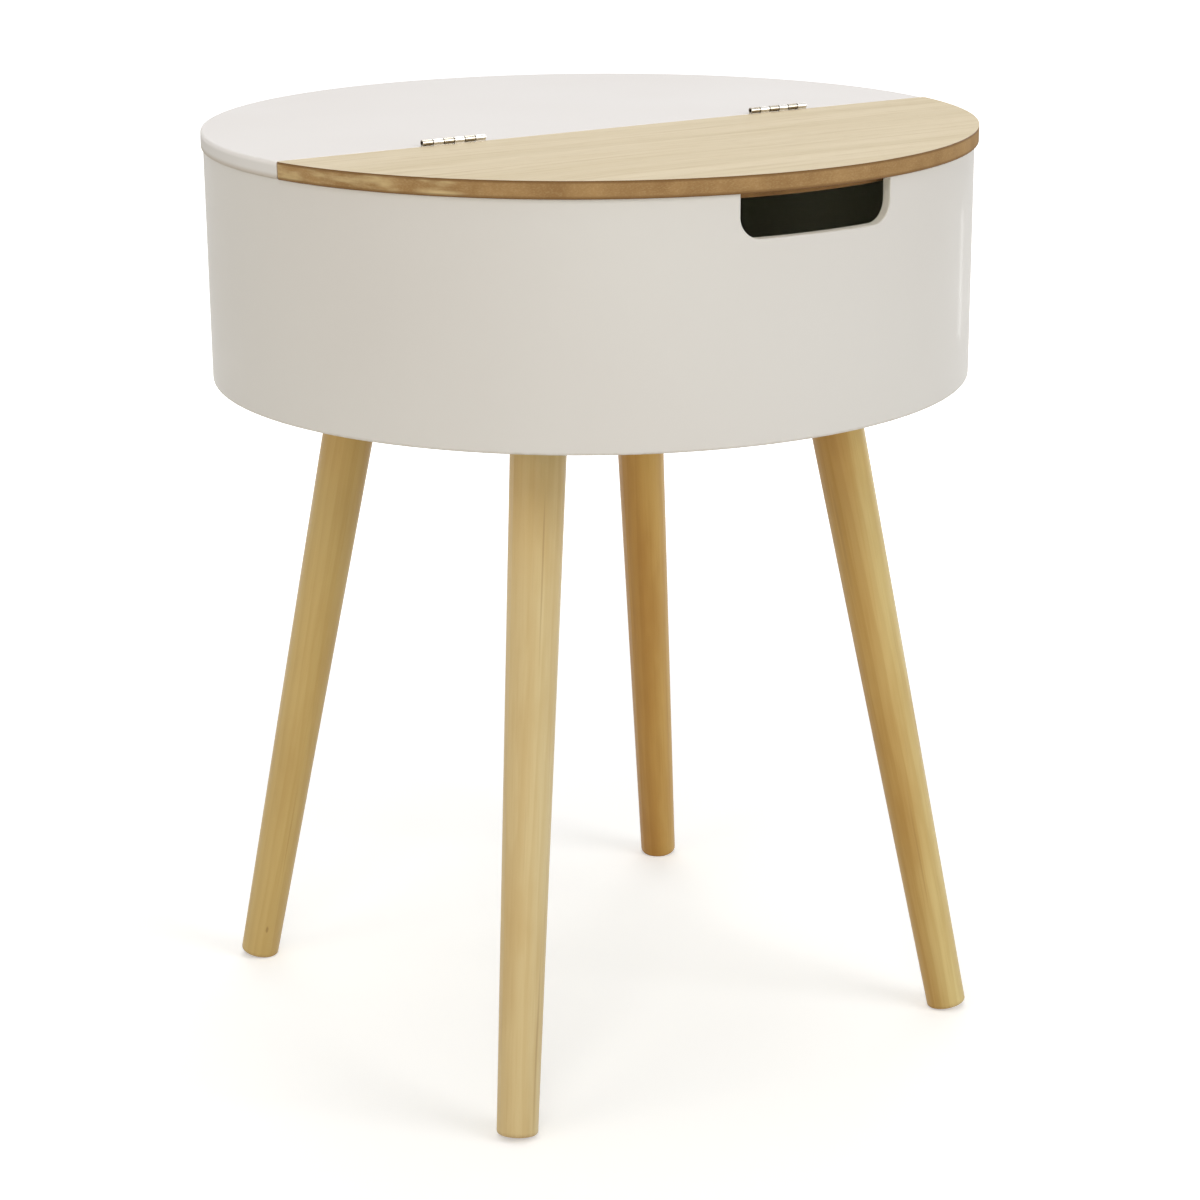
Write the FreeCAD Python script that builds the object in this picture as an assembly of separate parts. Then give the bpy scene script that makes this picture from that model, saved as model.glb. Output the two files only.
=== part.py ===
"""Round storage side table: a white drum on four splayed legs, half its top a hinged lid.

Millimetres, +Z up. The origin is on the floor under the drum's axis. The hinge line of
the lid runs along X, the lid lies towards -Y (the front) and the fixed top towards +Y.
"""
import FreeCAD
import Part
import math
import os

V = FreeCAD.Vector

# Drum
DRUM_R = 185.5            # outside radius of the bent wall
WALL_T = 5.0              # thickness of the bent wall
WALL_H = 112.5            # height of the bent wall
STAND_H = 329.5           # floor to the wall's lower edge
WALL_EASE = 0.8           # rounding of the wall's lower outer edge
GLUE_LINE = 0.1           # room for glue between a piece and the wall

# Base board inside the drum
BASE_T = 12.0
BASE_RECESS = 12.0        # wall's lower edge to the base's underside

# Top boards
LID_CORE_T = 6.8
VENEER_T = 0.6            # face and back veneer of the lid, each
LID_OVERHANG = 2.0        # lid beyond the wall
REAR_OVERHANG = 1.0       # fixed top beyond the wall
REAR_RIM_ROUND = 1.1      # rounding of its upper edges
SEAM_Y = -28.0            # hinge line
RIM_EASE = 0.4            # easing of the top boards' rims
CORNER_R = 1.8            # rounding of the upright corners where rim and seam meet
SEAM_ROUND = 2.2          # rounding of both boards' lower edges at the seam

# Finger notch in the wall's upper edge
NOTCH_W = 82.0
NOTCH_DEPTH = 20.5
NOTCH_CORNER_R = 10.0
NOTCH_EASE = 0.6          # rounding of its outer edge

# Strip glued under the lid that drops just inside the wall
STRIP_W = 6.0
STRIP_H = 3.6
STRIP_CLEAR = 4.0         # strip to the wall's inside
STRIP_END_GAP = 45.0      # hinge line to the strip's ends

# Rail across the drum under the front edge of the fixed top
RAIL_W = 18.0
RAIL_H = 22.0
RAIL_SETBACK = 3.6        # behind the fixed top's front edge
RAIL_SCREW_PITCH = 120.0
RAIL_SCREW_R = 1.75
RAIL_SCREW_L = 26.5
RAIL_HEAD_R = 3.5
RAIL_HEAD_H = 2.4

# Glue blocks in the corners between wall and boards
BLOCK_W = 30.0            # along the wall
BLOCK_D = 14.0            # towards the axis
BLOCK_H = 14.0            # those under the fixed top
BLOCK_SHY = 1.0           # those under the base stop short of the wall's edge
TOP_BLOCK_STEP = 32.0     # degrees
TOP_BLOCK_COUNT = 5
BASE_BLOCK_COUNT = 8

# Butt hinges
HINGE_X = 93.0            # table's middle to a hinge's middle
HINGE_L = 34.0
LEAF_T = 0.8
LEAF_DEPTH = 7.0          # leaf below the top surface
LEAF_GAP = 0.2            # between the closed leaves
MORTISE_DEPTH = 0.5       # leaf let into the board's edge
MORTISE_CLEAR = 0.1
KNUCKLE_R = 1.4
KNUCKLE_GAP = 0.45        # along the pin, between knuckles
KNUCKLE_CLEAR = 0.25      # around a knuckle
KNUCKLE_COUNT = 6
BARREL_LIFT = 0.2         # barrel above the top surface
PIN_R = 0.9
PIN_CLEAR = 0.04
PIN_SINK = 2.2            # pin ends below the barrel's ends
HINGE_SCREW_PITCH = 22.0
HINGE_SCREW_R = 1.0
HINGE_SCREW_L = 12.0
HINGE_HEAD_R = 1.9
SCREW_CLEAR = 0.03

# Legs
LEG_COUNT = 4
LEG_PITCH_R = 117.5       # where a leg's axis crosses the level of the wall's lower edge
LEG_SPLAY = 11.5          # degrees from upright
LEG_TOP_R = 13.4
LEG_FOOT_R = 9.8
LEG_TOP_CHAMFER = 0.8
FOOT_EASE = 1.5           # rounded rim of the foot
FOOT_FLAT = 0.5           # depth of the level worn into the inner rim

# Angled leg plates under the base
PLATE_SIDE = 58.0
PLATE_T = 2.5
PLATE_CORNER_R = 6.0
BOSS_R = 12.0
BOSS_DROP = 4.0           # plate's underside to the middle of the angled seat
BOLT_R = 4.0
BOLT_UP = 9.0             # seat to the bolt's upper end
BOLT_DOWN = 32.0          # seat to the bolt's lower end
BOLT_CLEAR = 0.05
BOLT_TIP = 1.2
BOLT_ROOM = 2.0           # around and above the bolt's end in the base
PILOT_SPARE = 2.0         # pilot holes beyond their screws
PLATE_SCREW_PITCH = 42.0
PLATE_SCREW_R = 2.0
PLATE_SCREW_L = 9.0       # into the base
PLATE_HEAD_R = 3.8
PLATE_HEAD_H = 2.2

# What follows from them
TOP_T = LID_CORE_T + 2 * VENEER_T
WALL_IN = DRUM_R - WALL_T
Z_WALL0 = STAND_H
Z_WALL1 = STAND_H + WALL_H
Z_TOP = Z_WALL1 + TOP_T
Z_BASE0 = Z_WALL0 + BASE_RECESS
Z_BASE1 = Z_BASE0 + BASE_T
LID_R = DRUM_R + LID_OVERHANG
REAR_R = DRUM_R + REAR_OVERHANG
SEAM_GAP = 2 * (LEAF_T - MORTISE_DEPTH) + LEAF_GAP
REAR_EDGE_Y = SEAM_Y + SEAM_GAP / 2
LID_EDGE_Y = SEAM_Y - SEAM_GAP / 2
Z_AXIS = Z_TOP + KNUCKLE_R + BARREL_LIFT
FAR = 4 * (DRUM_R + Z_TOP)
SIN, COS = math.sin(math.radians(LEG_SPLAY)), math.cos(math.radians(LEG_SPLAY))
LEG_NAMES = ("right_rear", "left_rear", "left_front", "right_front")


def save(name, *solids):
    """Write one piece, or one group of like pieces, under its name."""
    shape = solids[0] if len(solids) == 1 else Part.makeCompound(list(solids))
    shape.exportStep("parts/%s.step" % name)
    print(name, len(shape.Solids), "solids", round(sum(s.Volume for s in shape.Solids), 1), "mm3")


def one(shape):
    """The single solid of a cleaned shape."""
    shape = shape.removeSplitter()
    assert len(shape.Solids) == 1, "expected one solid, found %d" % len(shape.Solids)
    return shape.Solids[0]


def cylinder(radius, z0, z1, x=0.0, y=0.0):
    return Part.makeCylinder(radius, z1 - z0, V(x, y, z0))


def box(x0, x1, y0, y1, z0, z1):
    return Part.makeBox(x1 - x0, y1 - y0, z1 - z0, V(x0, y0, z0))


def slab(z0, z1):
    return box(-FAR, FAR, -FAR, FAR, z0, z1)


def ahead(y):
    return box(-FAR, FAR, -FAR, y, -FAR, FAR)


def polar(radius, degrees, z=0.0):
    a = math.radians(degrees)
    return V(radius * math.cos(a), radius * math.sin(a), z)


def turned(shape, degrees):
    copy = shape.copy()
    copy.rotate(V(0, 0, 0), V(0, 0, 1), degrees)
    return copy


def rim_edges(shape, radius, z):
    """Round edges of one radius about the drum's axis at one level."""
    found = []
    for e in shape.Edges:
        c = e.Curve
        if isinstance(c, Part.Circle) and abs(c.Radius - radius) < 1e-4 and abs(c.Center.z - z) < 1e-4:
            found.append(e)
    return found


def rings_about(shape, centre):
    """Round edges about one centre."""
    rings = [e for e in shape.Edges if isinstance(e.Curve, Part.Circle)]
    return [e for e in rings if (e.Curve.Center - centre).Length < 1e-3]


def level_edges(shape, z):
    """Every edge that lies at one level."""
    return [e for e in shape.Edges if all(abs(v.Point.z - z) < 1e-6 for v in e.Vertexes)]


def part_round(radius, edge_y, side):
    """Top board cut off at the seam, its corners rounded; side is +1 behind the seam and -1 ahead of it."""
    yc = edge_y + side * CORNER_R
    reach = radius - CORNER_R
    xc = math.sqrt(reach ** 2 - yc ** 2)
    middle = (V(xc, yc, 0) / reach + V(0, -side, 0)).normalize() * CORNER_R + V(xc, yc, 0)
    flip = lambda p: V(-p.x, p.y, p.z)
    seam, rim = V(xc, edge_y, 0), V(xc, yc, 0) * (radius / reach)
    outline = Part.Wire([
        Part.LineSegment(flip(seam), seam).toShape(),
        Part.Arc(seam, middle, rim).toShape(),
        Part.Arc(rim, V(0, side * radius, 0), flip(rim)).toShape(),
        Part.Arc(flip(rim), flip(middle), flip(seam)).toShape()])
    board = Part.Face(outline).extrude(V(0, 0, TOP_T))
    board.translate(V(0, 0, Z_WALL1))
    return board


def seam_rounding(edge_y, side):
    """What the rounding takes off a board's lower edge at the seam; side as for part_round."""
    z, r = Z_WALL1, SEAM_ROUND
    corner = box(-LID_R, LID_R, edge_y - r, edge_y + r, z - r, z + r)
    return corner.cut(Part.makeCylinder(r, 4 * LID_R, V(-2 * LID_R, edge_y + side * r, z + r), V(1, 0, 0)))


# Screws, and the pockets for the hinges

def sunk_screw(head, along, shank_r, length, head_r, head_h, tip):
    """Countersunk screw: the head's outer face at head, the shank running along."""
    cone = Part.makeCone(head_r, shank_r, head_h, head, along)
    shank = Part.makeCylinder(shank_r, length - head_h - tip, head + along * head_h, along)
    point = Part.makeCone(shank_r, shank_r * 0.25, tip, head + along * (length - tip), along)
    return one(cone.fuse(shank).fuse(point))


def sunk_hole(head, along, shank_r, depth, head_r, head_h, clear):
    """The room that a countersunk screw takes."""
    slope = clear * 1.4
    cone = Part.makeCone(head_r + slope, shank_r + slope, head_h, head, along)
    mouth = Part.makeCylinder(head_r + slope, head_h, head - along * head_h, along)
    shank = Part.makeCylinder(shank_r + clear, depth, head, along)
    return cone.fuse(mouth).fuse(shank)


def pan_screw(seat, along, shank_r, length, head_r, head_h, tip):
    """Pan-head screw: its head sits on seat, the shank runs along."""
    head = Part.makeCylinder(head_r, head_h, seat - along * head_h, along)
    outer = [e for e in head.Edges if isinstance(e.Curve, Part.Circle)
             and (e.Curve.Center - (seat - along * head_h)).Length < 1e-6]
    head = head.makeFillet(head_h * 0.45, outer)
    shank = Part.makeCylinder(shank_r, length - tip, seat, along)
    point = Part.makeCone(shank_r, shank_r * 0.25, tip, seat + along * (length - tip), along)
    return one(head.fuse(shank).fuse(point))


def hinge_screw_spots(side):
    """Heads' outer faces of the screws of both hinges' leaves; side is +1 rear, -1 lid."""
    spots = []
    for x in (-HINGE_X, HINGE_X):
        for dx in (-HINGE_SCREW_PITCH / 2, HINGE_SCREW_PITCH / 2):
            spots.append(V(x + dx, SEAM_Y + side * LEAF_GAP / 2, Z_TOP - TOP_T / 2))
    return spots


def hinge_screw_rooms(side):
    return [sunk_hole(p, V(0, side, 0), HINGE_SCREW_R, HINGE_SCREW_L + PILOT_SPARE,
                      HINGE_HEAD_R, LEAF_T, SCREW_CLEAR) for p in hinge_screw_spots(side)]


def mortises(side):
    """Pockets in a top board's edge for the leaves of both hinges."""
    back = SEAM_GAP / 2 + MORTISE_DEPTH
    pockets = []
    for x in (-HINGE_X, HINGE_X):
        half = HINGE_L / 2 + MORTISE_CLEAR
        y0, y1 = sorted((SEAM_Y, SEAM_Y + side * back))
        pockets.append(box(x - half, x + half, y0, y1, Z_TOP - LEAF_DEPTH - MORTISE_CLEAR, Z_TOP + KNUCKLE_R))
    return pockets


# Drum

def drum_wall():
    ring = cylinder(DRUM_R, Z_WALL0, Z_WALL1)
    ring = ring.makeFillet(WALL_EASE, rim_edges(ring, DRUM_R, Z_WALL0))
    ring = ring.cut(cylinder(WALL_IN, Z_WALL0 - WALL_T, Z_WALL1 + WALL_T))
    half, low = NOTCH_W / 2, Z_WALL1 - NOTCH_DEPTH
    block = box(-half, half, -DRUM_R - WALL_T, 0, low, Z_WALL1 + NOTCH_DEPTH)
    corners = [e for e in block.Edges
               if abs(e.Vertexes[0].Point.z - low) < 1e-6 and abs(e.Vertexes[-1].Point.z - low) < 1e-6
               and abs(e.Vertexes[0].Point.x - e.Vertexes[-1].Point.x) < 1e-6]
    wall = one(ring.cut(block.makeFillet(NOTCH_CORNER_R, corners)))
    outer = [e for e in wall.Edges if notch_edge(e, low)]
    return one(wall.makeFillet(NOTCH_EASE, outer))


def notch_edge(edge, low):
    """Whether an edge runs along the notch on the wall's outside."""
    points = [v.Point for v in edge.Vertexes] + [edge.valueAt((edge.FirstParameter + edge.LastParameter) / 2)]
    outside = all(abs(math.hypot(p.x, p.y) - DRUM_R) < 1e-3 for p in points)
    within = all(low - 1e-3 < p.z < Z_WALL1 + 1e-3 and abs(p.x) < NOTCH_W / 2 + 1e-3 for p in points)
    return outside and within and any(p.z < Z_WALL1 - 1e-3 for p in points)


def base_panel():
    disc = cylinder(WALL_IN - GLUE_LINE, Z_BASE0, Z_BASE1)
    for k in range(LEG_COUNT):
        axis = leg_axis(k)
        disc = disc.cut(Part.makeCylinder(BOLT_R + BOLT_ROOM, 2 * (BOLT_UP + BOLT_ROOM),
                                          axis["seat"] - axis["down"] * (BOLT_UP + BOLT_ROOM), axis["down"]))
        for p in plate_screw_spots(k):
            disc = disc.cut(Part.makeCylinder(PLATE_SCREW_R + SCREW_CLEAR, PLATE_SCREW_L,
                                              V(p.x, p.y, Z_BASE0), V(0, 0, 1)))
    return one(disc)


def rear_top_panel():
    panel = part_round(REAR_R, REAR_EDGE_Y, 1)
    panel = panel.makeFillet(REAR_RIM_ROUND, level_edges(panel, Z_TOP))
    panel = panel.makeFillet(RIM_EASE, level_edges(panel, Z_WALL1))
    for room in [seam_rounding(REAR_EDGE_Y, 1)] + mortises(1) + hinge_screw_rooms(1) + rail_screw_rooms():
        panel = panel.cut(room)
    return one(panel)


def rail_screw_spots():
    y = REAR_EDGE_Y + RAIL_SETBACK + RAIL_W / 2
    return [V(i * RAIL_SCREW_PITCH, y, Z_WALL1 - RAIL_H) for i in (-1, 0, 1)]


def rail_screw_rooms():
    return [sunk_hole(p, V(0, 0, 1), RAIL_SCREW_R, RAIL_SCREW_L, RAIL_HEAD_R, RAIL_HEAD_H, SCREW_CLEAR)
            for p in rail_screw_spots()]


def cross_rail():
    y0 = REAR_EDGE_Y + RAIL_SETBACK
    rail = box(-DRUM_R, DRUM_R, y0, y0 + RAIL_W, Z_WALL1 - RAIL_H, Z_WALL1)
    rail = rail.common(cylinder(WALL_IN - GLUE_LINE, Z_WALL1 - RAIL_H, Z_WALL1))
    for room in rail_screw_rooms():
        rail = rail.cut(room)
    return one(rail)


def rail_screws():
    return [sunk_screw(p, V(0, 0, 1), RAIL_SCREW_R, RAIL_SCREW_L, RAIL_HEAD_R, RAIL_HEAD_H, 2 * RAIL_SCREW_R)
            for p in rail_screw_spots()]


def glue_block(z0, z1):
    """A block against the wall's inside, at +X."""
    block = box(WALL_IN - BLOCK_D, WALL_IN + WALL_T, -BLOCK_W / 2, BLOCK_W / 2, z0, z1)
    return one(block.common(cylinder(WALL_IN - GLUE_LINE, z0, z1)))


def top_glue_blocks():
    block = glue_block(Z_WALL1 - BLOCK_H, Z_WALL1)
    first = 90 - TOP_BLOCK_STEP * (TOP_BLOCK_COUNT - 1) / 2
    return [turned(block, first + TOP_BLOCK_STEP * i) for i in range(TOP_BLOCK_COUNT)]


def base_glue_blocks():
    block = glue_block(Z_WALL0 + BLOCK_SHY, Z_BASE0)
    step = 360.0 / BASE_BLOCK_COUNT
    return [turned(block, step * (i + 0.5)) for i in range(BASE_BLOCK_COUNT)]


# Lid

def lid_layers():
    whole = part_round(LID_R, LID_EDGE_Y, -1)
    whole = whole.makeFillet(RIM_EASE, level_edges(whole, Z_WALL1))
    for room in [seam_rounding(LID_EDGE_Y, -1)] + mortises(-1) + hinge_screw_rooms(-1):
        whole = whole.cut(room)
    back = whole.common(slab(Z_WALL1 - VENEER_T, Z_WALL1 + VENEER_T))
    core = whole.common(slab(Z_WALL1 + VENEER_T, Z_TOP - VENEER_T))
    face = whole.common(slab(Z_TOP - VENEER_T, Z_TOP + VENEER_T))
    return one(core), one(face), one(back)


def lid_locating_strip():
    outer = WALL_IN - STRIP_CLEAR
    ring = cylinder(outer, Z_WALL1 - STRIP_H, Z_WALL1).cut(
        cylinder(outer - STRIP_W, Z_WALL1 - 2 * STRIP_H, Z_WALL1 + STRIP_H))
    return one(ring.common(ahead(SEAM_Y - STRIP_END_GAP)))


# Hinges

def hinge_leaf(x, side):
    """One leaf with every second knuckle; side is +1 on the fixed top and -1 on the lid."""
    x0 = x - HINGE_L / 2
    back = SEAM_GAP / 2 + MORTISE_DEPTH
    y0, y1 = sorted((SEAM_Y + side * (back - LEAF_T), SEAM_Y + side * back))
    leaf = box(x0, x0 + HINGE_L, y0, y1, Z_TOP - LEAF_DEPTH, Z_AXIS - KNUCKLE_R - KNUCKLE_CLEAR)
    step = HINGE_L / KNUCKLE_COUNT
    for i in range(0 if side > 0 else 1, KNUCKLE_COUNT, 2):
        k0, k1 = x0 + i * step + KNUCKLE_GAP / 2, x0 + (i + 1) * step - KNUCKLE_GAP / 2
        leaf = leaf.fuse(box(k0, k1, y0, y1, Z_TOP - LEAF_DEPTH, Z_AXIS))
        leaf = leaf.fuse(Part.makeCylinder(KNUCKLE_R, k1 - k0, V(k0, SEAM_Y, Z_AXIS), V(1, 0, 0)))
    bore_start = V(x - HINGE_L, SEAM_Y, Z_AXIS)
    leaf = leaf.cut(Part.makeCylinder(PIN_R + PIN_CLEAR, HINGE_L * 2, bore_start, V(1, 0, 0)))
    for room in hinge_screw_rooms(side):
        leaf = leaf.cut(room)
    return one(leaf)


def hinge_pin(x):
    length = HINGE_L - KNUCKLE_GAP - 2 * PIN_SINK
    return Part.makeCylinder(PIN_R, length, V(x - length / 2, SEAM_Y, Z_AXIS), V(1, 0, 0))


def hinge_screws(side):
    return [sunk_screw(p, V(0, side, 0), HINGE_SCREW_R, HINGE_SCREW_L, HINGE_HEAD_R, LEAF_T,
                       2 * HINGE_SCREW_R) for p in hinge_screw_spots(side)]


# Legs and what holds them

def leg_azimuth(k):
    return 360.0 / LEG_COUNT * (k + 0.5)


def leg_axis(k):
    """Seat, foot and direction of a leg's axis, and the middle of its plate."""
    az = leg_azimuth(k)
    out = polar(1.0, az)
    z_seat = Z_BASE0 - PLATE_T - BOSS_DROP
    z_foot = LEG_FOOT_R * SIN - FOOT_EASE * (SIN + COS - 1) - FOOT_FLAT
    lean = SIN / COS
    at = lambda z: out * (LEG_PITCH_R + (STAND_H - z) * lean) + V(0, 0, z)
    return {"az": az, "seat": at(z_seat), "foot": at(z_foot), "middle": at(Z_BASE0),
            "down": out * SIN - V(0, 0, COS), "length": (z_seat - z_foot) / COS}


def plate_screw_spots(k):
    """Points on the plate's underside."""
    axis = leg_axis(k)
    out, side = polar(1.0, axis["az"]), polar(1.0, axis["az"] + 90)
    h = PLATE_SCREW_PITCH / 2
    return [axis["middle"] + out * (sx * h) + side * (sy * h) - V(0, 0, PLATE_T)
            for sx in (-1, 1) for sy in (-1, 1)]


def leg(k):
    axis = leg_axis(k)
    body = Part.makeCone(LEG_TOP_R, LEG_FOOT_R, axis["length"], axis["seat"], axis["down"])
    body = body.makeFillet(FOOT_EASE, rings_about(body, axis["foot"]))
    body = body.makeChamfer(LEG_TOP_CHAMFER, rings_about(body, axis["seat"]))
    body = body.common(slab(0.0, FAR))
    depth = BOLT_DOWN + PILOT_SPARE
    body = body.cut(Part.makeCylinder(BOLT_R + BOLT_CLEAR, depth, axis["seat"], axis["down"]))
    return one(body)


def leg_plate(k):
    axis = leg_axis(k)
    h = PLATE_SIDE / 2
    flat = box(-h, h, -h, h, Z_BASE0 - PLATE_T, Z_BASE0)
    uprights = [e for e in flat.Edges if abs(e.Vertexes[0].Point.z - e.Vertexes[-1].Point.z) > PLATE_T / 2]
    flat = flat.makeFillet(PLATE_CORNER_R, uprights)
    flat.rotate(V(0, 0, 0), V(0, 0, 1), axis["az"])
    flat.translate(V(axis["middle"].x, axis["middle"].y, 0))
    boss = Part.makeCylinder(BOSS_R, 2 * BOSS_R, axis["seat"] - axis["down"] * (2 * BOSS_R), axis["down"])
    plate = flat.fuse(boss.common(slab(-FAR, Z_BASE0)))
    bore_start = axis["seat"] - axis["down"] * (2 * BOSS_R)
    plate = plate.cut(Part.makeCylinder(BOLT_R + BOLT_CLEAR, 4 * BOSS_R, bore_start, axis["down"]))
    for p in plate_screw_spots(k):
        plate = plate.cut(Part.makeCylinder(PLATE_SCREW_R + SCREW_CLEAR, 3 * PLATE_T, p - V(0, 0, PLATE_T)))
    return one(plate)


def hanger_bolt(k):
    axis = leg_axis(k)
    start = axis["seat"] - axis["down"] * BOLT_UP
    length = BOLT_UP + BOLT_DOWN
    bolt = Part.makeCylinder(BOLT_R, length, start, axis["down"])
    ends = [e for e in bolt.Edges if isinstance(e.Curve, Part.Circle)]
    return one(bolt.makeChamfer(BOLT_TIP, ends))


def plate_screws():
    length = PLATE_T + PLATE_SCREW_L
    return [pan_screw(p, V(0, 0, 1), PLATE_SCREW_R, length, PLATE_HEAD_R, PLATE_HEAD_H, PLATE_SCREW_R)
            for k in range(LEG_COUNT) for p in plate_screw_spots(k)]


def main():
    os.makedirs("parts", exist_ok=True)
    save("drum_wall", drum_wall())
    save("base_panel", base_panel())
    save("rear_top_panel", rear_top_panel())
    save("cross_rail", cross_rail())
    save("cross_rail_screws", *rail_screws())
    save("top_glue_blocks", *top_glue_blocks())
    save("base_glue_blocks", *base_glue_blocks())
    core, face, back = lid_layers()
    save("lid_core", core)
    save("lid_face_veneer", face)
    save("lid_back_veneer", back)
    save("lid_locating_strip", lid_locating_strip())
    for name, x in (("left", -HINGE_X), ("right", HINGE_X)):
        save("%s_hinge_fixed_leaf" % name, hinge_leaf(x, 1))
        save("%s_hinge_lid_leaf" % name, hinge_leaf(x, -1))
        save("%s_hinge_pin" % name, hinge_pin(x))
    save("hinge_screws_fixed", *hinge_screws(1))
    save("hinge_screws_lid", *hinge_screws(-1))
    for k, name in enumerate(LEG_NAMES):
        save("leg_%s" % name, leg(k))
        save("leg_plate_%s" % name, leg_plate(k))
        save("hanger_bolt_%s" % name, hanger_bolt(k))
    save("leg_plate_screws", *plate_screws())


main()
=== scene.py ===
"""Looks of a round storage side table: white drum, hinged veneer lid, four turned legs.

Metres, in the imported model's own frame: +Z up, the origin on the floor under the drum's
axis, the lid's hinge line along X and the lid towards -Y.
"""
import logging
import math
from dataclasses import dataclass
from enum import Enum
from typing import Union

import bmesh
import bpy
from mathutils import Matrix, Vector


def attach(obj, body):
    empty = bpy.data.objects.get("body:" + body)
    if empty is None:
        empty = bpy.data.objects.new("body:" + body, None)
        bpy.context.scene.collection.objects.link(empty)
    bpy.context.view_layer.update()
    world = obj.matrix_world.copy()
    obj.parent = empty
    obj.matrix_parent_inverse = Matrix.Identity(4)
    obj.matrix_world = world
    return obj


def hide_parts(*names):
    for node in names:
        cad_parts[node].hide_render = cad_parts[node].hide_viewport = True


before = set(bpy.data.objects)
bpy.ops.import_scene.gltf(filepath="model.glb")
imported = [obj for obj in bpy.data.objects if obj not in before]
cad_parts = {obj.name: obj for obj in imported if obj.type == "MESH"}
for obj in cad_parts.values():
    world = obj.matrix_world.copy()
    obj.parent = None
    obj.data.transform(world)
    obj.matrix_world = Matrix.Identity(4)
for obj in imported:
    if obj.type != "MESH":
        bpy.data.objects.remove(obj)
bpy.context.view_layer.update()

LOG = logging.getLogger("side_table")
ABOVE_ALL = 1.0  # a level over the whole table, for a finish that marks no upper edge

Socket = bpy.types.NodeSocket
Colour = tuple[float, float, float, float]
Triple = tuple[float, float, float]
Number = Union[float, Socket]
Tint = Union[Colour, Socket]


class Body(Enum):
    """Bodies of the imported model."""

    TABLE = "table"
    LID = "lid"


class Slot(Enum):
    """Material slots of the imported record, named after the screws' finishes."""

    NICKEL = "nickel"
    ZINC = "zinc"


def srgb(red: int, green: int, blue: int) -> Colour:
    """Linear colour of a display colour.

    Args:
        red: Red from 0 to 255.
        green: Green from 0 to 255.
        blue: Blue from 0 to 255.

    Returns:
        The colour in linear light, with full alpha.
    """
    def linear(level: int) -> float:
        """Linear light of one display level."""
        share = level / 255
        return share / 12.92 if share <= 0.04045 else ((share + 0.055) / 1.055) ** 2.4

    return linear(red), linear(green), linear(blue), 1.0


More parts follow.
